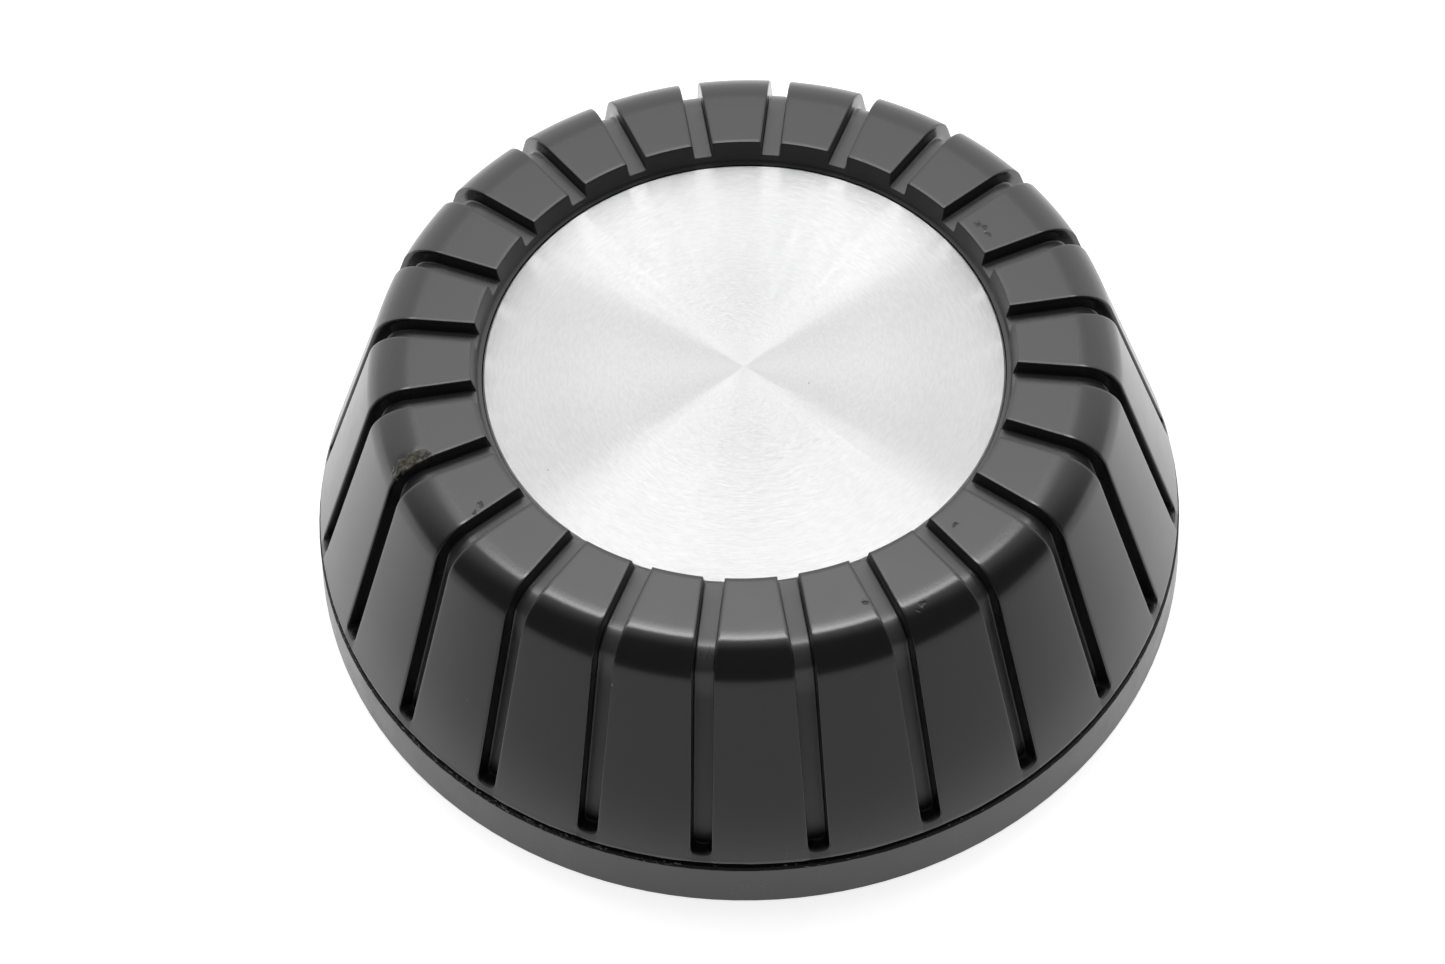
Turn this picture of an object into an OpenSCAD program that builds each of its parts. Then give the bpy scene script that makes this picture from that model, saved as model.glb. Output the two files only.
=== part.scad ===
// Control knob: a grooved rubber sleeve on a plastic core with a spun metal face disc.
// Millimetres, origin on the shaft axis in the base plane, +Z up through the face disc.

/* [Overall] */

// Diameter over the base flange
base_d = 50; // [46:0.5:56]
// Height from the base to the top of the sleeve
height = 17.1; // [16:0.1:20]

/* [Base flange] */

// Height of the plain flange below the seam
flange_h = 3.3; // [2.8:0.1:3.8]
// Loss of radius over the height of the flange
flange_draft = 0.15; // [0.05:0.05:0.4]
// Bevel on the lower outer edge of the flange
flange_bevel = 0.2; // [0.1:0.05:0.4]
// Width of the flat rim that the knob stands on
rim_w = 2; // [1.6:0.1:2.4]
// Thickness of the ledge under the sleeve
ledge_t = 1.7; // [1.4:0.1:2]

/* [Grip sleeve] */

// Open seam between flange and sleeve
seam_gap = 0.25; // [0.1:0.05:0.4]
// Step from the flange in to the foot of the sleeve
foot_step = 0.05; // [0:0.05:0.2]
// Bevel on the two edges that face each other across the seam
seam_bevel = 0.12; // [0.06:0.02:0.24]
// Lean of the side wall from the vertical, in degrees
cone_angle = 18; // [12:0.5:19]
// Radius of the shoulder arc
shoulder_r = 2.4; // [2:0.1:2.8]
// Wall thickness of the sleeve, measured level
sleeve_t = 2.2; // [2:0.1:2.6]
// Flare of the lip opening from the disc up to the top
lip_flare = 0.32; // [0.1:0.02:0.6]
// Clearance between sleeve and core
sleeve_fit = 0.04; // [0.02:0.01:0.1]

/* [Grooves] */

// Number of grooves round the sleeve
groove_count = 24; // [16:1:28]
// Width of a groove
groove_w = 1.15; // [0.9:0.05:1.4]
// Depth of a groove below the surface
groove_depth = 0.88; // [0.6:0.02:1]
// Radius along the two floor corners of a groove
groove_floor_r = 0.26; // [0.1:0.02:0.3]
// Radius of the two corners at the blind end, seen from outside
groove_end_r = 0.4; // [0.32:0.02:0.44]
// Height of plain wall between the foot of the sleeve and the blind ends
groove_land = 0.75; // [0.5:0.05:2]

/* [Face disc] */

// Diameter of the face disc
disc_d = 28.96; // [26:0.02:30]
// Thickness of the face disc
disc_t = 0.8; // [0.6:0.05:1]
// Depth of the disc face below the top of the sleeve
disc_drop = 1.37; // [1.2:0.01:1.6]
// Open ring between disc and lip
disc_gap = 0.25; // [0.15:0.05:0.4]
// Bevel on the upper edge of the disc
disc_bevel = 0.1; // [0.05:0.01:0.15]
// Thickness of the adhesive film
pad_t = 0.2; // [0.1:0.05:0.3]
// Margin between the edges of film and disc
pad_margin = 0.9; // [0.5:0.1:2]

/* [Core] */

// Wall thickness of the core, measured level
core_wall = 2; // [1.6:0.1:2.4]
// Thickness of the top plate
plate_t = 2; // [1.6:0.1:2.4]
// Bevel round the top edge of the core
core_bevel = 0.6; // [0.4:0.1:1]
// Diameter of the hub
hub_d = 16; // [15:0.5:18]
// Height of the hub end above the base
hub_z = 1; // [0.6:0.1:1.6]
// Angle between ribs, in degrees
rib_step = 60; // [36, 60, 180]
// Thickness of a rib
rib_t = 1.4; // [1:0.1:1.8]
// Height of the rib ends above the base
rib_z = 4; // [3.4:0.1:5]

/* [Shaft fixing] */

// Diameter of the shaft
shaft_d = 6; // [5:0.05:6.4]
// Clearance on the diameter of the shaft
shaft_clear = 0.05; // [0.02:0.01:0.08]
// Extra radius of the blind space above the bush
shaft_relief = 0.3; // [0.1:0.05:0.6]
// Diameter of the bush
bush_d = 12; // [11:0.5:13]
// Length of the bush
bush_l = 10.4; // [9.8:0.1:10.6]
// Width of the ring groove that locks the bush into the hub
lock_w = 1.2; // [0.8:0.1:1.4]
// Depth of the ring groove that locks the bush into the hub
lock_depth = 0.6; // [0.4:0.1:0.8]
// Lead-in at the mouth of the bore
bore_lead = 0.5; // [0.3:0.1:0.8]
// Diameter of the set screw
screw_d = 3; // [2.5:0.5:4]
// Length of the set screw
screw_l = 5; // [4:0.5:6]
// Clearance on the diameter of the set screw
screw_clear = 0.1; // [0.06:0.02:0.2]
// Height of the set screw above the base
screw_z = 6.3; // [6:0.1:6.6]
// Gap from the tip of the set screw to the bore
screw_back = 0.1; // [0.05:0.05:0.4]
// Extra width of the driver hole in the core wall
driver_clear = 0.6; // [0.4:0.1:1]

/* [Hidden] */

$fn = 96;

rubber_black = [0.09, 0.09, 0.1];
plastic_black = [0.12, 0.12, 0.13];
spun_metal = [0.9, 0.9, 0.91];
film_amber = [0.75, 0.7, 0.55];
brass = [0.8, 0.65, 0.3];
dark_steel = [0.25, 0.25, 0.27];

// How far a cut runs past the face that it opens
over = 1;
base_r = base_d / 2;
flange_top_r = base_r - flange_draft;
foot_z = flange_h + seam_gap;
foot_r = flange_top_r - foot_step;
lean = tan(cone_angle);
disc_r = disc_d / 2;
disc_z = height - disc_drop;
pad_z = disc_z - disc_t;
seat_z = pad_z - pad_t;
plate_z = seat_z - plate_t;
lip_r = disc_r + disc_gap;
bevel_z = seat_z - core_bevel;
shoulder_x = cone_r(height) - shoulder_r * (1 / cos(cone_angle) - lean);
shoulder_z = height - shoulder_r;
groove_step = 360 / groove_count;
groove_half = groove_w / 2;
end_z = foot_z + groove_land;
hub_r = hub_d / 2;
bush_r = bush_d / 2;
bush_top_z = hub_z + bush_l;
bore_r = (shaft_d + shaft_clear) / 2;
screw_r = screw_d / 2;
screw_hole_r = screw_r + screw_clear / 2;
screw_start = bore_r + screw_back;
socket_w = screw_r;
socket_depth = 0.45 * screw_l;
cup_r = 0.6 * screw_r;
thread_bevel = 0.15 * screw_r;

// Outer radius of the sleeve's side wall at a height
function cone_r(z) = foot_r - (z - foot_z) * lean;

// Outer radius of the core's side wall at a height
function core_r(z) = cone_r(z) - sleeve_t - sleeve_fit;

// What lies between the corner of wall and top and the shoulder arc that rounds it
module shoulder_waste() {
    middle = [shoulder_x, shoulder_z];
    wall_point = middle + shoulder_r * [cos(cone_angle), sin(cone_angle)];
    difference() {
        polygon([middle, [shoulder_x, height], [cone_r(height), height], wall_point]);
        translate(middle) circle(shoulder_r);
    }
}

// Half section of the sleeve before its grooves are cut
module sleeve_section() {
    difference() {
        polygon([
            [core_r(foot_z) + sleeve_fit, foot_z],
            [foot_r - seam_bevel, foot_z],
            [cone_r(foot_z + seam_bevel), foot_z + seam_bevel],
            [cone_r(height), height],
            [lip_r + lip_flare, height],
            [lip_r, disc_z],
            [lip_r, seat_z],
            [core_r(seat_z) - core_bevel + sleeve_fit, seat_z],
            [core_r(bevel_z) + sleeve_fit, bevel_z]
        ]);
        shoulder_waste();
    }
}

// Section of a groove, with the surface at zero and the floor below it
module groove_section() {
    floor_half = groove_half - groove_floor_r;
    translate([-groove_half, groove_floor_r - groove_depth])
        square([groove_w, groove_depth - groove_floor_r + over]);
    translate([-floor_half, -groove_depth])
        square([2 * floor_half, groove_depth]);
    for (side = [-1, 1])
        translate([side * floor_half, groove_floor_r - groove_depth])
            circle(groove_floor_r);
}

// Section of a blind end, from the middle of its corner arc outwards
module end_section() {
    floor_end = groove_end_r - groove_floor_r;
    translate([0, groove_floor_r - groove_depth])
        square([groove_end_r, groove_depth - groove_floor_r + over]);
    translate([0, -groove_depth])
        square([floor_end, groove_depth]);
    intersection() {
        translate([floor_end, groove_floor_r - groove_depth]) circle(groove_floor_r);
        translate([0, -groove_depth]) square([groove_end_r, groove_floor_r]);
    }
}

// Blind end of a groove, with two rounded corners
module groove_end() {
    corner_y = groove_half - groove_end_r;
    translate([0, corner_y, 0])
        rotate_extrude(angle = 90) end_section();
    translate([0, -corner_y, 0])
        rotate(-90)
            rotate_extrude(angle = 90) end_section();
    translate([0, corner_y, 0])
        rotate([90, 0, 0])
            linear_extrude(2 * corner_y) end_section();
}

// One groove, swept out along the lip, round the shoulder and down the side wall
module groove() {
    wall_run = (shoulder_z + shoulder_r * sin(cone_angle) - end_z) / cos(cone_angle) - groove_end_r;
    translate([lip_r - over, 0, height])
        rotate([90, 0, 90])
            linear_extrude(shoulder_x - lip_r + over) groove_section();
    translate([shoulder_x, 0, shoulder_z]) {
        rotate([90, 0, 0])
            rotate(cone_angle)
                rotate_extrude(angle = 90 - cone_angle)
                    translate([shoulder_r, 0]) rotate(-90) groove_section();
        rotate([0, 90 - cone_angle, 0])
            translate([0, 0, shoulder_r]) {
                rotate([90, 0, 90])
                    linear_extrude(wall_run) groove_section();
                translate([wall_run, 0, 0]) groove_end();
            }
    }
}

// Rubber sleeve with its lip and grooves
module grip_sleeve() {
    color(rubber_black)
        difference() {
            rotate_extrude() sleeve_section();
            for (i = [0 : groove_count - 1])
                rotate(90 + (i + 0.5) * groove_step) groove();
        }
}

// Half section of the core as a solid, before it is hollowed
module core_section() {
    polygon([
        [0, 0],
        [base_r - flange_bevel, 0],
        [base_r, flange_bevel],
        [flange_top_r, flange_h - seam_bevel],
        [flange_top_r - seam_bevel, flange_h],
        [core_r(flange_h), flange_h],
        [core_r(bevel_z), bevel_z],
        [core_r(seat_z) - core_bevel, seat_z],
        [0, seat_z]
    ]);
}

// Half section of the hollow under the core
module hollow_section() {
    ledge_z = flange_h - ledge_t;
    polygon([
        [0, -over],
        [base_r - rim_w, -over],
        [base_r - rim_w, ledge_z],
        [core_r(ledge_z) - core_wall, ledge_z],
        [core_r(plate_z) - core_wall, plate_z],
        [0, plate_z]
    ]);
}

// Outside of the bush, with the ring groove that the hub locks into
module bush_body() {
    lock_z = bush_l - 2 * lock_w;
    difference() {
        cylinder(h = bush_l, r = bush_r);
        translate([0, 0, lock_z])
            difference() {
                cylinder(h = lock_w, r = bush_r + over);
                translate([0, 0, -over]) cylinder(h = lock_w + 2 * over, r = bush_r - lock_depth);
            }
    }
}

// A level cylinder that runs out along +Y at the height of the set screw
module screw_line(from, to, r) {
    translate([0, from, screw_z])
        rotate([-90, 0, 0]) cylinder(h = to - from, r = r);
}

// Plastic core with its flange, top plate, ribs and hub
module core() {
    color(plastic_black)
        difference() {
            rotate_extrude() core_section();
            difference() {
                rotate_extrude() hollow_section();
                translate([0, 0, hub_z]) cylinder(h = height, r = hub_r);
                for (a = [0 : rib_step : 359])
                    rotate(a)
                        translate([0, -rib_t / 2, rib_z]) cube([base_r, rib_t, height]);
            }
            translate([0, 0, hub_z]) bush_body();
            translate([0, 0, hub_z]) cylinder(h = plate_z - hub_z, r = bore_r + shaft_relief);
            screw_line(0, hub_r + over, screw_hole_r);
            screw_line(hub_r + over, base_r, screw_hole_r + driver_clear / 2);
        }
}

// Spun metal face disc
module face_disc() {
    color(spun_metal)
        rotate_extrude()
            polygon([
                [0, pad_z],
                [disc_r, pad_z],
                [disc_r, disc_z - disc_bevel],
                [disc_r - disc_bevel, disc_z],
                [0, disc_z]
            ]);
}

// Adhesive film under the face disc
module disc_pad() {
    color(film_amber)
        translate([0, 0, seat_z]) cylinder(h = pad_t, r = disc_r - pad_margin);
}

// Brass bush with the shaft bore
module shaft_bush() {
    color(brass)
        difference() {
            translate([0, 0, hub_z]) bush_body();
            translate([0, 0, hub_z - over]) cylinder(h = bush_l + 2 * over, r = bore_r);
            translate([0, 0, hub_z - bore_lead])
                cylinder(h = 2 * bore_lead, r1 = bore_r + 2 * bore_lead, r2 = bore_r);
            screw_line(0, bush_r + over, screw_hole_r);
        }
}

// Socket set screw with a cup point
module set_screw() {
    color(dark_steel)
        translate([0, screw_start, screw_z])
            rotate([-90, 0, 0])
                difference() {
                    rotate_extrude()
                        polygon([
                            [0, 0],
                            [cup_r, 0],
                            [screw_r, screw_r - cup_r],
                            [screw_r, screw_l - thread_bevel],
                            [screw_r - thread_bevel, screw_l],
                            [0, screw_l]
                        ]);
                    translate([0, 0, -cup_r / 2])
                        cylinder(h = cup_r, r1 = 1.2 * cup_r, r2 = 0.2 * cup_r);
                    translate([0, 0, screw_l - socket_depth])
                        cylinder(h = socket_depth + over, r = socket_w / sqrt(3), $fn = 6);
                }
}

grip_sleeve();
core();
face_disc();
disc_pad();
shaft_bush();
set_screw();
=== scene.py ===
# Looks of the control knob: fine rubber sleeve, materials, wear, light and camera.
import math
import random

import bpy
from mathutils import Matrix, Vector, noise


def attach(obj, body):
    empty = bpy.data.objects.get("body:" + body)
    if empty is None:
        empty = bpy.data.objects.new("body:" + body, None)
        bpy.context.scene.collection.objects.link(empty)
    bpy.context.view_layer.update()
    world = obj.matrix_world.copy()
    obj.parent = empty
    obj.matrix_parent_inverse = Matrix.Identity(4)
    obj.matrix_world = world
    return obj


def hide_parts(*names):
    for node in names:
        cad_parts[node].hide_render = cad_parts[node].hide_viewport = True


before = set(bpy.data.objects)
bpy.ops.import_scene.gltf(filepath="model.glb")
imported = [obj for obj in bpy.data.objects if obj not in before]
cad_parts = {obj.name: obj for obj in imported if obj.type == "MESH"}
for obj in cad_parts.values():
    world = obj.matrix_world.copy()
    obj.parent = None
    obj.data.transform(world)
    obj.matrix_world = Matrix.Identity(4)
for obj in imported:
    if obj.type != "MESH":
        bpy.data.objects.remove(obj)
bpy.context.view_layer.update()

MM = 0.001

# Sizes in millimetres, the same as the solids have
HEIGHT = 17.1
FOOT_Z = 3.55
FOOT_R = 24.8
CONE = math.radians(18)
SHOULDER_R = 2.4
SLEEVE_T = 2.2
SEAT_Z = 14.73
DISC_Z = 15.73
CORE_BEVEL = 0.6
LIP_R = 14.73
LIP_FLARE = 0.32
FLANGE_R = 24.85
FLANGE_H = 3.3
SEAM_BEVEL = 0.12
GROOVES = 24
GROOVE_W = 1.15
GROOVE_DEPTH = 0.88
GROOVE_END_R = 0.4
GROOVE_END_Z = 4.3

# Fine rounding that the solids leave out
EDGE_R = 0.08
RIM_R = 0.04
SKIRT = 0.2
SKIRT_H = 0.16
WALL_DRAFT = 0.03
GROOVE_FLOOR_R = 0.1
FOOT_ROUND = 0.22
CROWN_RUN = 1.0
CROWN_TILT = math.radians(0.8)

STEP = 2 * math.pi / GROOVES
HALF_W = GROOVE_W / 2
SHOULDER_X = FOOT_R - (HEIGHT - FOOT_Z) * math.tan(CONE) - SHOULDER_R * (1 / math.cos(CONE) - math.tan(CONE))
SHOULDER_Z = HEIGHT - SHOULDER_R
ARC_END_Z = SHOULDER_Z + SHOULDER_R * math.sin(CONE)
WALL_RUN = (ARC_END_Z - FOOT_Z - FOOT_ROUND) / math.cos(CONE)
TIP_RUN = (ARC_END_Z - GROOVE_END_Z) / math.cos(CONE)


def spread(start, end, count):
    """Evenly spaced numbers from start to end."""
    return [start + (end - start) * i / (count - 1) for i in range(count)]


def wall_depth(inside):
    """Depth of a groove at a distance inside its outline, with a rounded edge, a wall and a floor fillet."""
    if inside <= -EDGE_R:
        return 0.0
    if inside <= 0:
        return EDGE_R * (1 - math.sqrt(1 - (inside / EDGE_R + 1) ** 2))
    top = EDGE_R
    foot = GROOVE_DEPTH - GROOVE_FLOOR_R
    if inside <= WALL_DRAFT:
        return top + (foot - top) * inside / WALL_DRAFT
    rest = min((inside - WALL_DRAFT) / GROOVE_FLOOR_R, 1)
    return foot + GROOVE_FLOOR_R * math.sqrt(1 - (1 - rest) ** 2)


def groove_depth(y, run):
    """Depth at a level offset from a groove's middle and a run down the wall, with a rounded blind end."""
    past = run - (TIP_RUN - GROOVE_END_R)
    if past <= 0:
        return wall_depth(HALF_W - abs(y))
    aside = max(abs(y) - (HALF_W - GROOVE_END_R), 0)
    return wall_depth(GROOVE_END_R - math.hypot(aside, past))


def lip_radius(z):
    """Radius of the lip's inner wall at a height."""
    return LIP_R + LIP_FLARE * max(z - DISC_Z, 0) / (HEIGHT - DISC_Z)


def inner_radius(z):
    """Radius of the sleeve's inside at a height."""
    return FOOT_R - (z - FOOT_Z) * math.tan(CONE) - SLEEVE_T


def skirt_point(rise, depth):
    """Foot of the lip's inner wall, closing in on the disc's edge, at a rise above the disc."""
    z = DISC_Z + rise
    close = min((SKIRT_H - rise) / SKIRT_H, 1)
    return lip_radius(z) - SKIRT * close ** 2, z


def lip_point(share, depth):
    """Inner wall of the lip, from the skirt up to the rim."""
    foot = DISC_Z + SKIRT_H
    z = foot + share * (HEIGHT - depth - RIM_R - foot)
    return lip_radius(z), z


def rim_point(turn, depth):
    """Small round between the inner wall and the top."""
    z = HEIGHT - depth - RIM_R
    middle = lip_radius(z) + RIM_R
    return middle - RIM_R * math.cos(turn), z + RIM_R * math.sin(turn)


def top_point(share, depth):
    """Top of the lip, flat at first and then tilted to meet the shoulder."""
    start = lip_radius(HEIGHT - depth - RIM_R) + RIM_R
    end = arc_point(math.pi / 2 - CROWN_TILT, depth)[0]
    r = start + share * (end - start)
    drop = max(r - end + CROWN_RUN, 0) ** 2 / CROWN_RUN / 2 * math.tan(CROWN_TILT)
    return r, HEIGHT - depth - drop


def arc_point(angle, depth):
    """Shoulder arc, by the angle of its outward direction above the level."""
    radius = SHOULDER_R - depth
    sink = CROWN_RUN / 2 * math.tan(CROWN_TILT) * (math.sin(angle) - math.sin(CONE))
    return SHOULDER_X + radius * math.cos(angle), SHOULDER_Z + radius * math.sin(angle) - sink


def wall_point(run, depth):
    """Conical wall, by the run down from the shoulder."""
    r, z = arc_point(CONE, depth)
    return r + run * math.sin(CONE), z - run * math.cos(CONE)


# Mesh rows round a groove's blind end, as distances short of its tip
NEAR_TIP = [
    0.95, 0.75, 0.6, 0.48, 0.4, 0.33, 0.26, 0.2, 0.15, 0.11,
    0.08, 0.06, 0.045, 0.03, 0.012, 0, -0.012, -0.04, -0.08,
]
# Mesh columns across the edge of a groove, as distances inside its outline
NEAR_EDGE = [
    -0.75, -0.55, -0.38, -0.22, -0.08, -0.04, -0.012, 0, 0.012,
    0.03, 0.045, 0.065, 0.09, 0.13, 0.2, 0.3, 0.44,
]


def sleeve_rows():
    """The sleeve's closed section as rows of (function, argument), from the lip outwards and back inside."""
    rows = [(skirt_point, SEAT_Z - DISC_Z)]
    rows += [(skirt_point, s * SKIRT_H) for s in (-1, 0, 0.25, 0.5, 0.75)]
    rows += [(lip_point, s) for s in (0, 0.3, 0.6, 0.85, 1)]
    rows += [(rim_point, math.radians(a)) for a in (30, 60)]
    rows += [(top_point, s) for s in spread(0, 1, 16)]
    rows += [(arc_point, a) for a in spread(math.pi / 2 - CROWN_TILT, CONE, 20)[1:]]
    rows += [(wall_point, s) for s in spread(0, TIP_RUN - 1.2, 12)[1:]]
    rows += [(wall_point, TIP_RUN - s) for s in NEAR_TIP]
    rows += [(wall_point, s) for s in spread(TIP_RUN + 0.08, WALL_RUN, 4)[1:]]
    hidden = [
        (FOOT_R - 0.32 * FOOT_ROUND, FOOT_Z + 0.55 * FOOT_ROUND),
        (FOOT_R - 0.5 * FOOT_ROUND, FOOT_Z + 0.2 * FOOT_ROUND),
        (FOOT_R - FOOT_ROUND, FOOT_Z),
        (FOOT_R - 1, FOOT_Z),
        (inner_radius(FOOT_Z), FOOT_Z),
        (inner_radius(9), 9),
        (inner_radius(SEAT_Z - CORE_BEVEL), SEAT_Z - CORE_BEVEL),
        (inner_radius(SEAT_Z) - CORE_BEVEL, SEAT_Z),
    ]
    return rows + [(lambda point, depth: point, p) for p in hidden]


def sleeve_columns():
    """Columns as (groove number, offset from its middle or None, share of the block after it)."""
    offsets = [HALF_W - s for s in NEAR_EDGE]
    ys = [-y for y in offsets] + [0] + offsets[::-1]
    columns = []
    for k in range(GROOVES):
        columns += [(k, y, 0) for y in ys]
        columns += [(k, None, s) for s in spread(0, 1, 6)[1:-1]]
    return columns


# The torn place on the left shoulder, beside the groove at this azimuth
TEAR_AZ = math.radians(202.5)
TEAR_MIDDLE = (19.3, -0.85)
TEAR_HALF = (1.15, 0.42)
TEAR_EDGE = -0.57
TEAR_DEPTH = 0.07
TEAR_CRUMBS = 0.09
# How far the foot edge stands up on the left of the front, how uneven it is, and how high that reaches
FOOT_LIFT = 0.07
FOOT_RIPPLE = 0.06
FOOT_BAND = 0.3


def tear_amount(point):
    """How far a point in millimetres lies inside the torn place, from 0 to 1."""
    local = Matrix.Rotation(-TEAR_AZ, 3, "Z") @ point
    along = (local.x - TEAR_MIDDLE[0]) / TEAR_HALF[0]
    across = (local.y - TEAR_MIDDLE[1]) / TEAR_HALF[1]
    if local.y > TEAR_EDGE:
        return 0.0
    return max(0.0, min(1.0, 2.5 * (1 - math.hypot(along, across))))


def worn(point, outward):
    """Moves a surface point where the rubber is torn or its foot edge is uneven."""
    torn = tear_amount(point)
    if torn > 0:
        crumbs = noise.noise(point * 4) + 0.6 * noise.noise(point * 9)
        point = point - outward * torn * (TEAR_DEPTH + TEAR_CRUMBS * crumbs)
    low = max(0.0, 1 - (point.z - FOOT_Z) / FOOT_BAND)
    if low > 0 and point.xy.length > FOOT_R - 1:
        left = max(0.0, -point.x - 0.8 * point.y) / FOOT_R
        ripple = noise.noise(point * 0.9) + 0.7 * noise.noise(point * 3.1)
        point.z += low * (FOOT_LIFT * left ** 2 + FOOT_RIPPLE * (1 + left) * ripple)
    return point


def make_sleeve():
    """The rubber sleeve as one fine mesh with rounded groove edges and its wear."""
    rows = sleeve_rows()
    columns = sleeve_columns()
    margin = max(y for k, y, share in columns if y is not None)
    verts = []
    for shape, argument in rows:
        run = argument if shape is wall_point else 0.0
        for k, y, share in columns:
            depth = 0.0 if y is None else groove_depth(y, run)
            r, z = shape(argument, depth)
            azimuth = (k + 0.5) * STEP
            if y is None:
                edge = math.asin(margin / r)
                azimuth += edge + share * (STEP - 2 * edge)
            else:
                azimuth += math.asin(y / r)
            point = Vector((r * math.cos(azimuth), r * math.sin(azimuth), z))
            outward = Vector((math.cos(azimuth), math.sin(azimuth), 1)).normalized()
            verts.append(worn(point, outward) * MM)
    across = len(columns)
    faces = []
    for i in range(len(rows)):
        for j in range(across):
            below = (i + 1) % len(rows) * across
            beside = (j + 1) % across
            faces.append((i * across + j, below + j, below + beside, i * across + beside))
    mesh = bpy.data.meshes.new("sleeve_grip")
    mesh.from_pydata(verts, [], faces)
    mesh.shade_smooth()
    mesh.set_sharp_from_angle(angle=math.radians(55))
    piece = bpy.data.objects.new("sleeve_grip", mesh)
    bpy.context.scene.collection.objects.link(piece)
    return piece


LINT_BITS = 260
LINT_STATIONS = 5
LINT_SIDES = 5


def make_lint():
    """Fluff and crumbs caught in the seam, mostly on the left of the front."""
    chance = random.Random(7)
    verts = []
    faces = []
    for i in range(LINT_BITS):
        azimuth = math.radians(chance.gauss(228, 16) if i % 3 else chance.uniform(195, 345))
        thick = chance.uniform(0.02, 0.05)
        length = thick * chance.uniform(1.5, 7)
        r = chance.uniform(FLANGE_R - 0.22, FLANGE_R - 0.02)
        middle = Vector((r, 0, FLANGE_H - max(r - FLANGE_R + SEAM_BEVEL, 0) + 0.4 * thick))
        middle.rotate(Matrix.Rotation(azimuth, 3, "Z"))
        along = Vector((-math.sin(azimuth), math.cos(azimuth), chance.uniform(-0.25, 0.25))).normalized()
        out = Vector((math.cos(azimuth), math.sin(azimuth), 0))
        up = along.cross(out)
        base = len(verts)
        for j in range(LINT_STATIONS):
            share = j / (LINT_STATIONS - 1)
            swell = thick * (0.35 + 0.65 * math.sin(math.pi * share)) * chance.uniform(0.7, 1.2)
            sway = out * chance.uniform(-0.3, 0.3) * thick
            centre = middle + along * length * (share - 0.5) + sway
            for k in range(LINT_SIDES):
                turn = 2 * math.pi * k / LINT_SIDES
                verts.append((centre + (out * math.cos(turn) + up * math.sin(turn)) * swell) * MM)
        for j in range(LINT_STATIONS - 1):
            ring = base + LINT_SIDES * j
            after = ring + LINT_SIDES
            for k in range(LINT_SIDES):
                beside = (k + 1) % LINT_SIDES
                faces.append((ring + k, after + k, after + beside, ring + beside))
        faces.append(tuple(base + k for k in range(LINT_SIDES)))
        faces.append(tuple(base + LINT_SIDES * LINT_STATIONS - 1 - k for k in range(LINT_SIDES)))
    mesh = bpy.data.meshes.new("seam_lint")
    mesh.from_pydata(verts, [], faces)
    mesh.shade_smooth()
    piece = bpy.data.objects.new("seam_lint", mesh)
    bpy.context.scene.collection.objects.link(piece)
    return piece


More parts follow.
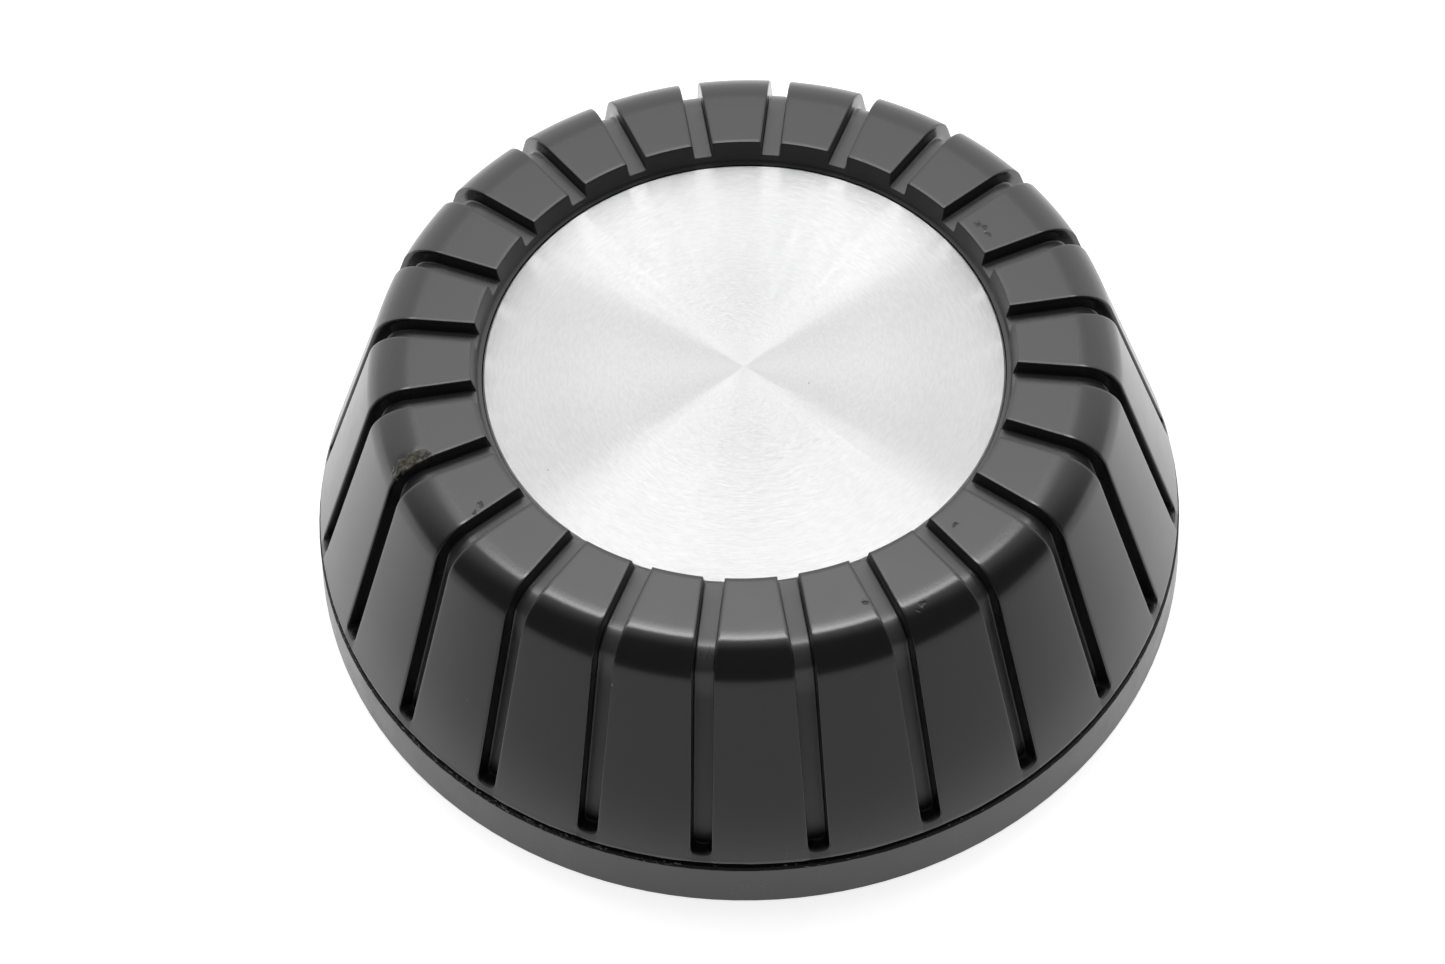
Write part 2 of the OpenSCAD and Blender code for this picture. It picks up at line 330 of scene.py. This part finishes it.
class Shade:
    """Adds nodes to one material or world and links them."""

    def __init__(self, owner):
        self.owner = owner
        owner.use_nodes = True
        self.tree = owner.node_tree

    def put(self, socket, value):
        if isinstance(value, bpy.types.NodeSocket):
            self.tree.links.new(value, socket)
        elif isinstance(value, tuple) and len(value) == 3 and len(socket.default_value) == 4:
            socket.default_value = (*value, 1)
        else:
            socket.default_value = value

    def node(self, kind, inputs, **settings):
        made = self.tree.nodes.new(kind)
        for key, value in settings.items():
            setattr(made, key, value)
        for key, value in inputs.items():
            self.put(made.inputs[key], value)
        return made

    def set(self, **inputs):
        surface = self.tree.nodes["Principled BSDF"]
        for key, value in inputs.items():
            self.put(surface.inputs[key.replace("_", " ")], value)

    def place(self):
        """Object coordinates in millimetres."""
        coords = self.tree.nodes.new("ShaderNodeTexCoord").outputs["Object"]
        return self.vector("MULTIPLY", coords, (1000, 1000, 1000))

    def split(self, vector):
        """Sockets X, Y and Z of a vector."""
        return self.node("ShaderNodeSeparateXYZ", {0: vector}).outputs

    def vector(self, operation, *values):
        return self.node("ShaderNodeVectorMath", dict(enumerate(values)), operation=operation).outputs[0]

    def scaled(self, vector, factor):
        return self.node("ShaderNodeVectorMath", {0: vector, "Scale": factor}, operation="SCALE").outputs[0]

    def length(self, vector):
        return self.node("ShaderNodeVectorMath", {0: vector}, operation="LENGTH").outputs["Value"]

    def turned(self, vector, angle):
        """A vector turned about the knob's axis."""
        inputs = {"Vector": vector, "Angle": angle}
        return self.node("ShaderNodeVectorRotate", inputs, rotation_type="Z_AXIS").outputs[0]

    def noise(self, place, scale, detail=2.0, rough=0.5):
        inputs = {"Vector": place, "Scale": scale, "Detail": detail, "Roughness": rough}
        return self.node("ShaderNodeTexNoise", inputs).outputs["Fac"]

    def math(self, operation, a, b=0.0, c=0.0):
        return self.node("ShaderNodeMath", {0: a, 1: b, 2: c}, operation=operation).outputs[0]

    def ramp(self, value, low, high, to_low=0.0, to_high=1.0):
        inputs = {"Value": value, "From Min": low, "From Max": high, "To Min": to_low, "To Max": to_high}
        return self.node("ShaderNodeMapRange", inputs, interpolation_type="SMOOTHSTEP").outputs["Result"]

    def mix(self, share, a, b):
        made = self.tree.nodes.new("ShaderNodeMix")
        made.data_type = "RGBA"
        self.put(made.inputs["Factor"], share)
        self.put(made.inputs[6], a)
        self.put(made.inputs[7], b)
        return made.outputs[2]

    def bump(self, height, distance, strength=1.0, normal=None):
        inputs = {"Height": height, "Distance": distance * MM, "Strength": strength}
        if normal is not None:
            inputs["Normal"] = normal
        return self.node("ShaderNodeBump", inputs).outputs["Normal"]

    def radius(self, parts):
        """Distance from the knob's axis."""
        squares = self.math("MULTIPLY_ADD", parts["X"], parts["X"], self.math("POWER", parts["Y"], 2.0))
        return self.math("SQRT", squares)

    def spot(self, place, centre, radius):
        """1 inside a ragged spot round a point in millimetres, 0 outside."""
        away = self.node("ShaderNodeVectorMath", {0: place, 1: centre}, operation="DISTANCE").outputs["Value"]
        return self.ramp(away, radius * 1.15, radius * 0.6)


# Small dents and nicks in the rubber, as point and radius in millimetres
DENTS = [
    ((13.45, 8.45, 17.1), 0.22),
    ((13.75, 8.1, 17.1), 0.19),
    ((13.95, 7.72, 17.1), 0.21),
    ((-14.72, -10.19, 17.1), 0.16),
    ((-14.41, -9.68, 17.1), 0.21),
    ((6.75, -16.58, 17.1), 0.21),
    ((6.01, -16.81, 17.1), 0.17),
    ((8.95, -16.95, 17.04), 0.21),
    ((8.71, -17.44, 16.94), 0.14),
    ((10.96, -12.07, 17.1), 0.14),
]
# Pale specks of dust on the rubber
SPECKS = [
    ((-7.51, -19.84, 14.56), 0.1),
    ((1.35, -24.49, 4.39), 0.1),
    ((3.2, -23.4, 8.0), 0.06),
    ((-15.6, -16.9, 9.0), 0.07),
    ((13.79, 7.9, 17.1), 0.07),
]
# Dull specks on the disc
DISC_SPECKS = [
    ((3.56, -1.29, DISC_Z), 0.06),
    ((-10.84, -6.6, DISC_Z), 0.06),
]


def total(shade, spots):
    """Largest of several masks."""
    result = spots[0]
    for mask in spots[1:]:
        result = shade.math("MAXIMUM", result, mask)
    return result


def rubber():
    """Satin black rubber with grain, dents, dust specks, the torn place and painted light on the groove
    floors.
    """
    shade = Shade(bpy.data.materials.new("satin_black_rubber"))
    place = shade.place()
    parts = shade.split(place)
    radius = shade.radius(parts)
    height = parts["Z"]
    mottle = shade.noise(place, 0.7, 3.0, 0.6)
    grain = shade.noise(place, 7.0, 3.0, 0.6)

    # Ragged outlines for the dents and the torn place
    wobble = shade.node("ShaderNodeTexNoise", {"Vector": place, "Scale": 3.0, "Detail": 3.0}).outputs["Color"]
    shift = shade.vector("SUBTRACT", wobble, (0.5, 0.5, 0.5))
    ragged = shade.vector("MULTIPLY_ADD", shift, (0.7, 0.7, 0.7), place)
    dents = total(shade, [shade.spot(ragged, c, r) for c, r in DENTS])
    specks = total(shade, [shade.spot(place, c, r) for c, r in SPECKS])
    local = shade.split(shade.turned(ragged, -TEAR_AZ))
    along = shade.math("DIVIDE", shade.math("SUBTRACT", local["X"], TEAR_MIDDLE[0]), TEAR_HALF[0])
    across = shade.math("DIVIDE", shade.math("SUBTRACT", local["Y"], TEAR_MIDDLE[1]), TEAR_HALF[1])
    reach = shade.math("ADD", shade.math("POWER", along, 2.0), shade.math("POWER", across, 2.0))
    beside = shade.split(shade.turned(place, -TEAR_AZ))["Y"]
    torn = shade.math("MULTIPLY", shade.ramp(reach, 1.2, 0.8), shade.math("LESS_THAN", beside, TEAR_EDGE))
    crumbs = shade.noise(place, 4.2, 3.0, 0.7)
    crumb_tone = shade.mix(shade.ramp(crumbs, 0.38, 0.68), (0.03, 0.029, 0.021), (0.17, 0.162, 0.12))

    # Groove floors: painted light on the top and the shoulder, only duller down the wall
    turn = shade.math("DIVIDE", shade.math("ARCTAN2", parts["Y"], parts["X"]), STEP)
    aside = shade.math("ABSOLUTE", shade.math("SUBTRACT", shade.math("FRACT", turn), 0.5))
    aside = shade.math("MULTIPLY", shade.math("MULTIPLY", aside, STEP), radius)
    between_walls = shade.ramp(aside, HALF_W - 0.08, HALF_W - 0.16)
    past_lip = shade.math("MAXIMUM", shade.ramp(height, 16.12, 16.2), shade.ramp(radius, 15.2, 15.5))
    painted_light_floors = shade.math("MULTIPLY", between_walls, shade.ramp(height, 13.6, 15.0))
    painted_light_floors = shade.math("MULTIPLY", painted_light_floors, past_lip)
    groove = shade.ramp(aside, HALF_W + 0.04, HALF_W - 0.06)
    dull = shade.math("MULTIPLY", groove, shade.ramp(height, 14.6, 13.4))

    # Colour: nearly black, greyer on the lip's inner wall
    tone = shade.mix(mottle, (0.0075, 0.0075, 0.008), (0.0125, 0.0125, 0.0135))
    tone = shade.mix(shade.ramp(radius, 15.12, 15.0), tone, (0.04, 0.04, 0.041))
    # Painted light: the groove floors on the top and the shoulder are lighter grey
    tone = shade.mix(painted_light_floors, tone, (0.09, 0.09, 0.09))
    tone = shade.mix(specks, tone, (0.22, 0.22, 0.21))
    tone = shade.mix(torn, tone, crumb_tone)

    # Gloss: most polished along the crown, dull in the grooves, in the dents and at the foot
    uneven = shade.math("ADD", mottle, shade.math("MULTIPLY", grain, 0.4))
    rough = shade.ramp(uneven, 0.3, 1.1, 0.3, 0.335)
    top_end = shade.ramp(radius, 18.2, 18.8, 1.0, 0.5)
    wall_start = shade.ramp(radius, 19.4, 20.9, 0.5, 0.78)
    rough = shade.math("MULTIPLY", rough, shade.math("MAXIMUM", top_end, wall_start))
    rough = shade.math("MULTIPLY_ADD", dull, 0.18, rough)
    rough = shade.math("MULTIPLY_ADD", painted_light_floors, 0.12, rough)
    scuffed = shade.math("MAXIMUM", dents, shade.ramp(height, 3.72, 3.62))
    rough = shade.math("MULTIPLY_ADD", scuffed, 0.25, rough)
    rough = shade.math("MAXIMUM", rough, shade.math("MULTIPLY", shade.math("MAXIMUM", torn, specks), 0.8))
    normal = shade.bump(grain, 0.004, 0.6)
    normal = shade.bump(shade.math("MULTIPLY", dents, -1.0), 0.03, 0.8, normal)
    normal = shade.bump(shade.math("MULTIPLY", torn, crumbs), 0.12, 0.8, normal)
    shade.set(Base_Color=tone, Roughness=rough, Specular_IOR_Level=0.82, Normal=normal)
    return shade.owner


def plastic():
    """Satin black moulding of the core, darker along the seam under the sleeve: painted shade there, and
    grime.
    """
    shade = Shade(bpy.data.materials.new("satin_black_moulding"))
    place = shade.place()
    parts = shade.split(place)
    mottle = shade.noise(place, 0.5, 3.0, 0.6)
    grain = shade.noise(place, 6.0, 2.0, 0.6)
    ragged = shade.math("MULTIPLY_ADD", shade.noise(place, 2.5, 3.0, 0.7), 0.16, parts["Z"])
    seam_shade_and_grime = shade.math("MULTIPLY", shade.ramp(ragged, 3.2, 3.26), shade.ramp(shade.radius(parts), 24.0, 24.3))
    tone = shade.mix(mottle, (0.03, 0.03, 0.031), (0.04, 0.04, 0.041))
    # Darker band along the seam: partly painted shade under the sleeve's foot, partly grime
    tone = shade.mix(seam_shade_and_grime, tone, (0.012, 0.012, 0.011))
    rough = shade.math("MULTIPLY_ADD", seam_shade_and_grime, 0.4, shade.ramp(mottle, 0.3, 0.7, 0.27, 0.34))
    shade.set(Base_Color=tone, Roughness=rough, Specular_IOR_Level=0.65, Normal=shade.bump(grain, 0.003, 0.5))
    return shade.owner


def spun_metal():
    """Finely turned aluminium: ring grooves too fine to see, short streaks, a few dull specks and painted
    shade darkening it towards the rim.
    """
    shade = Shade(bpy.data.materials.new("spun_aluminium"))
    place = shade.place()
    parts = shade.split(place)
    flat = shade.node("ShaderNodeCombineXYZ", {"X": parts["X"], "Y": parts["Y"]}).outputs[0]
    radius = shade.length(flat)
    outward = shade.vector("NORMALIZE", flat)

    def rings(per_mm, per_turn):
        """Noise in short arcs, so many across a millimetre and so many round the disc."""
        around = shade.scaled(outward, per_turn / math.pi)
        across = shade.node("ShaderNodeCombineXYZ", {"Z": shade.math("MULTIPLY", radius, per_mm)}).outputs[0]
        return shade.noise(shade.vector("ADD", around, across), 1.0, 2.0, 0.6)

    streaks = shade.ramp(rings(7.0, 60.0), 0.3, 0.7)

    # The flanks of the finest grooves lean in and out, less so towards the rim
    steepness = shade.ramp(radius, 5.0, 12.0, 0.55, 0.32)
    lean = shade.math("MULTIPLY", shade.ramp(rings(800.0, 40.0), 0.3, 0.7, -1.0, 1.0), steepness)
    upright = shade.node("ShaderNodeNewGeometry", {}).outputs["Normal"]
    tilted = shade.vector("ADD", upright, shade.scaled(outward, lean))
    specks = total(shade, [shade.spot(place, c, r) for c, r in DISC_SPECKS])
    tone = shade.mix(streaks, (0.7, 0.7, 0.705), (0.75, 0.75, 0.75))
    # Painted shade: the colour darkens towards the rim
    rim_painted_shade = shade.mix(streaks, (0.64, 0.64, 0.645), (0.685, 0.685, 0.685))
    tone = shade.mix(shade.ramp(radius, 6.5, 11.5), tone, rim_painted_shade)
    tone = shade.mix(specks, tone, (0.45, 0.45, 0.44))
    tangent = shade.node("ShaderNodeTangent", {}, direction_type="RADIAL", axis="Z").outputs[0]
    shade.set(
        Base_Color=tone,
        Metallic=0.72,
        Roughness=shade.math("MULTIPLY_ADD", streaks, -0.01, 0.285),
        Anisotropic=1.0,
        Anisotropic_Rotation=0.25,
        Tangent=tangent,
        Normal=shade.vector("NORMALIZE", tilted),
    )
    return shade.owner


def turned_brass():
    """Turned brass with fine tool rings."""
    shade = Shade(bpy.data.materials.new("turned_brass"))
    place = shade.place()
    parts = shade.split(place)
    depth = shade.math("ADD", shade.radius(parts), parts["Z"])
    inputs = {"W": depth, "Scale": 8.0, "Detail": 3.0}
    rings = shade.node("ShaderNodeTexNoise", inputs, noise_dimensions="1D").outputs["Fac"]
    stain = shade.noise(place, 0.9, 4.0, 0.6)
    tone = shade.mix(shade.ramp(stain, 0.4, 0.75), (0.7, 0.5, 0.2), (0.45, 0.3, 0.12))
    rough = shade.ramp(stain, 0.3, 0.8, 0.24, 0.42)
    shade.set(Base_Color=tone, Metallic=1.0, Roughness=rough, Normal=shade.bump(rings, 0.004, 0.6))
    return shade.owner


def black_steel():
    """Blackened steel of the set screw, with the ridges of its thread."""
    shade = Shade(bpy.data.materials.new("blackened_steel"))
    place = shade.place()
    ridge = shade.math("PINGPONG", shade.split(place)["Y"], 0.25)
    stain = shade.noise(place, 2.5, 4.0, 0.6)
    tone = shade.mix(stain, (0.05, 0.05, 0.055), (0.12, 0.115, 0.11))
    shade.set(
        Base_Color=tone,
        Metallic=0.9,
        Roughness=shade.ramp(stain, 0.3, 0.7, 0.34, 0.5),
        Normal=shade.bump(ridge, 0.4, 0.8),
    )
    return shade.owner


def amber_film():
    """Cloudy amber adhesive film."""
    shade = Shade(bpy.data.materials.new("amber_film"))
    cloud = shade.noise(shade.place(), 1.2, 4.0, 0.6)
    tone = shade.mix(cloud, (0.5, 0.4, 0.2), (0.66, 0.56, 0.34))
    shade.set(Base_Color=tone, Roughness=shade.ramp(cloud, 0.3, 0.7, 0.4, 0.55))
    return shade.owner


def fluff():
    """Dull grey lint with lighter and darker bits."""
    shade = Shade(bpy.data.materials.new("grey_lint"))
    bits = shade.noise(shade.place(), 2.2, 2.0)
    tone = shade.mix(shade.ramp(bits, 0.35, 0.65), (0.07, 0.07, 0.065), (0.34, 0.34, 0.32))
    shade.set(Base_Color=tone, Roughness=shade.ramp(bits, 0.3, 0.7, 0.75, 0.95))
    return shade.owner


def dress(node, material):
    """Gives a solid of the frame its material."""
    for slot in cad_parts[node].material_slots:
        slot.material = material


sleeve = make_sleeve()
sleeve.data.materials.append(rubber())
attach(sleeve, "root")
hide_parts("grip_sleeve")

lint = make_lint()
lint.data.materials.append(fluff())
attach(lint, "root")

dress("core", plastic())
dress("face_disc", spun_metal())
dress("disc_pad", amber_film())
dress("shaft_bush", turned_brass())
dress("set_screw", black_steel())


# The window behind the knob is a fan that widens upwards from a point
WINDOW_LEVEL = 5.8
WINDOW_APEX = 0.6
WINDOW_SPLAY = 1.28
WINDOW_SIDE_LEVEL = 0.6 * WINDOW_LEVEL
WINDOW_SLANT = -0.15 * WINDOW_LEVEL
# What the table's material adds to its own colour for the camera
TABLE_LIFT = 0.8


def make_floor():
    """White table that keeps the shadow and looks white."""
    mesh = bpy.data.meshes.new("floor")
    half = 2.0
    level = -0.00005
    corners = [(-half, -half, level), (half, -half, level), (half, half, level), (-half, half, level)]
    mesh.from_pydata(corners, [], [(0, 1, 2, 3)])
    floor = bpy.data.objects.new("floor", mesh)
    bpy.context.scene.collection.objects.link(floor)
    shade = Shade(bpy.data.materials.new("white_table"))
    rays = shade.node("ShaderNodeLightPath", {}).outputs
    mirrored = shade.math("MAXIMUM", rays["Is Glossy Ray"], rays["Is Transmission Ray"])
    parts = shade.split(shade.place())
    near = shade.ramp(shade.radius(parts), 40.0, 29.0, 0.0, 0.75)
    glow = shade.math("MAXIMUM", near, shade.ramp(parts["Y"], -35.0, 15.0, 0.02, 0.85))
    mirror_lift = shade.math("MULTIPLY", mirrored, glow)
    lift = shade.math("MULTIPLY_ADD", rays["Is Camera Ray"], TABLE_LIFT, mirror_lift)
    shade.set(Base_Color=(0.85, 0.85, 0.85), Roughness=0.9, Emission_Color=(1, 1, 1), Emission_Strength=lift)
    mesh.materials.append(shade.owner)


def make_room():
    """White room, dark on the viewer's side, with a bright window behind and above the knob."""
    world = bpy.data.worlds.new("room")
    bpy.context.scene.world = world
    room = Shade(world)
    towards = room.split(room.node("ShaderNodeTexCoord", {}).outputs["Generated"])
    x = towards["X"]
    y = towards["Y"]
    z = towards["Z"]
    walls = room.ramp(y, -0.2, 0.7, 0.09, 1.35)
    sill = room.math("MULTIPLY", room.ramp(y, 0.57, 0.5), room.ramp(y, 0.3, 0.39))
    reach = room.math("MULTIPLY_ADD", y, -WINDOW_SPLAY, WINDOW_SPLAY * WINDOW_APEX)
    jamb = room.ramp(room.math("SUBTRACT", room.math("ABSOLUTE", x), reach), 0.03, -0.03)
    pane = room.math("MULTIPLY", room.math("MULTIPLY", sill, jamb), room.math("GREATER_THAN", z, 0.0))
    aside = room.math("DIVIDE", room.math("ABSOLUTE", x), reach)
    fading = room.ramp(aside, 0.2, 1.0, WINDOW_LEVEL, WINDOW_SIDE_LEVEL)
    slant = room.math("MULTIPLY_ADD", x, WINDOW_SLANT, fading)
    seen = room.node("ShaderNodeLightPath", {}).outputs["Is Camera Ray"]
    level = room.math("MAXIMUM", room.math("MULTIPLY_ADD", pane, slant, walls), seen)
    room.tree.nodes["Background"].inputs["Color"].default_value = (1, 1, 1, 1)
    room.put(room.tree.nodes["Background"].inputs["Strength"], level)


# Focal length and width of the photograph, in its pixels
FOCAL_PX = 4000
PHOTO_W = 1445


def make_camera():
    """Camera as worked out from the photograph, in the knob's frame."""
    eye = Vector((-1.451, -133.30, 192.59)) * MM
    right = Vector((0.99913, -0.03405, -0.02417))
    up = Vector((0.04176, 0.81479, 0.57829))
    turn = Matrix.Rotation(math.radians(0.6), 4, "Z")
    aim = Matrix((right, up, right.cross(up))).transposed().to_4x4()
    camera = bpy.data.cameras.new("camera")
    camera.sensor_width = 36
    camera.sensor_fit = "HORIZONTAL"
    camera.lens = camera.sensor_width * FOCAL_PX / PHOTO_W
    camera.clip_start = 0.01
    view = bpy.data.objects.new("camera", camera)
    view.matrix_world = turn @ Matrix.Translation(eye) @ aim
    bpy.context.scene.collection.objects.link(view)
    bpy.context.scene.camera = view


make_floor()
make_room()
make_camera()
bpy.context.scene.view_settings.view_transform = "Standard"
